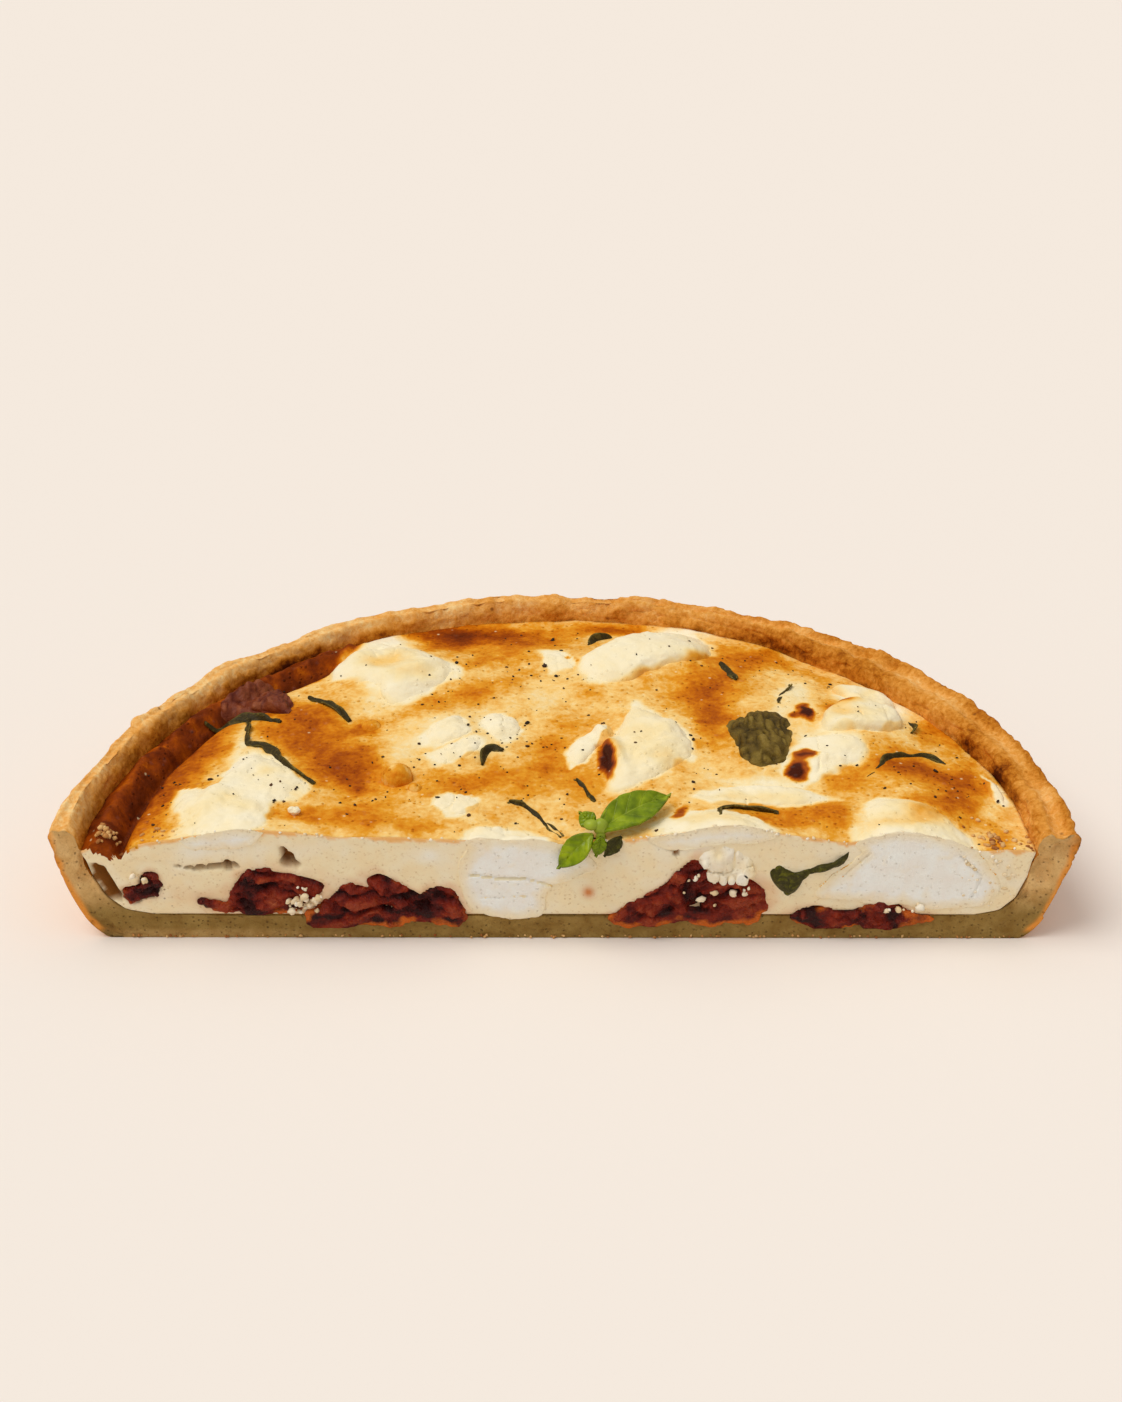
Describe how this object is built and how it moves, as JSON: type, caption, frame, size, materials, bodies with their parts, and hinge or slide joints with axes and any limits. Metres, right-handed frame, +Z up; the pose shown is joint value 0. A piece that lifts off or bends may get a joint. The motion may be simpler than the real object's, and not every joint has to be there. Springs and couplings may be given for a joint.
{
  "type": "quiche half",
  "caption": "Half of a round quiche cut straight across, with a pastry case, baked custard, soft cheese, dried tomato and basil leaves.",
  "frame": {"origin": "middle of the object's box in X and Y, at the underside of the pastry base", "axes": "+X along the straight cut, to the right when the cut faces the viewer; +Y from the cut to the round back; +Z up"},
  "size_m": [0.2427, 0.1245, 0.035],
  "materials": {
    "pastry": "baked golden shortcrust, matte and grainy",
    "custard": "baked egg custard, browned in patches, satin",
    "cheese": "soft white cheese, matte",
    "tomato": "oven-dried tomato, dark red and wet",
    "tomato_skin": "wrinkled dull tomato skin",
    "fresh_basil": "fresh green leaf, glossy",
    "baked_basil": "dark baked leaf",
    "crumpled_basil": "dull green crumpled leaf"
  },
  "bodies": {
    "root": {"basil_back": "baked_basil", "basil_back_right": "baked_basil", "basil_beside_block": "baked_basil", "basil_beside_tomato": "baked_basil", "basil_crumpled": "crumpled_basil", "basil_cut": "baked_basil", "basil_fold": "baked_basil", "basil_front": "baked_basil", "basil_left": "baked_basil", "basil_mid": "baked_basil", "basil_right": "baked_basil", "basil_short": "baked_basil", "basil_sprig": "fresh_basil", "basil_under_sprig": "baked_basil", "basil_upright": "baked_basil", "cheese_back_chip": "cheese", "cheese_back_left": "cheese", "cheese_back_mid": "cheese", "cheese_band": "cheese", "cheese_centre": "cheese", "cheese_centre_flake": "cheese", "cheese_chip": "cheese", "cheese_front_left": "cheese", "cheese_front_mid": "cheese", "cheese_front_peak": "cheese", "cheese_front_right": "cheese", "cheese_left_front": "cheese", "cheese_left_rear": "cheese", "cheese_left_side": "cheese", "cheese_on_cluster": "cheese", "cheese_right_block": "cheese", "cheese_right_lower": "cheese", "cheese_right_strip": "cheese", "cheese_rim_sliver": "cheese", "crust": "pastry", "custard": "custard", "tomato_cluster": "tomato", "tomato_folded": "tomato", "tomato_large": "tomato", "tomato_left": "tomato", "tomato_right": "tomato", "tomato_top": "tomato_skin"}
  },
  "joints": []
}
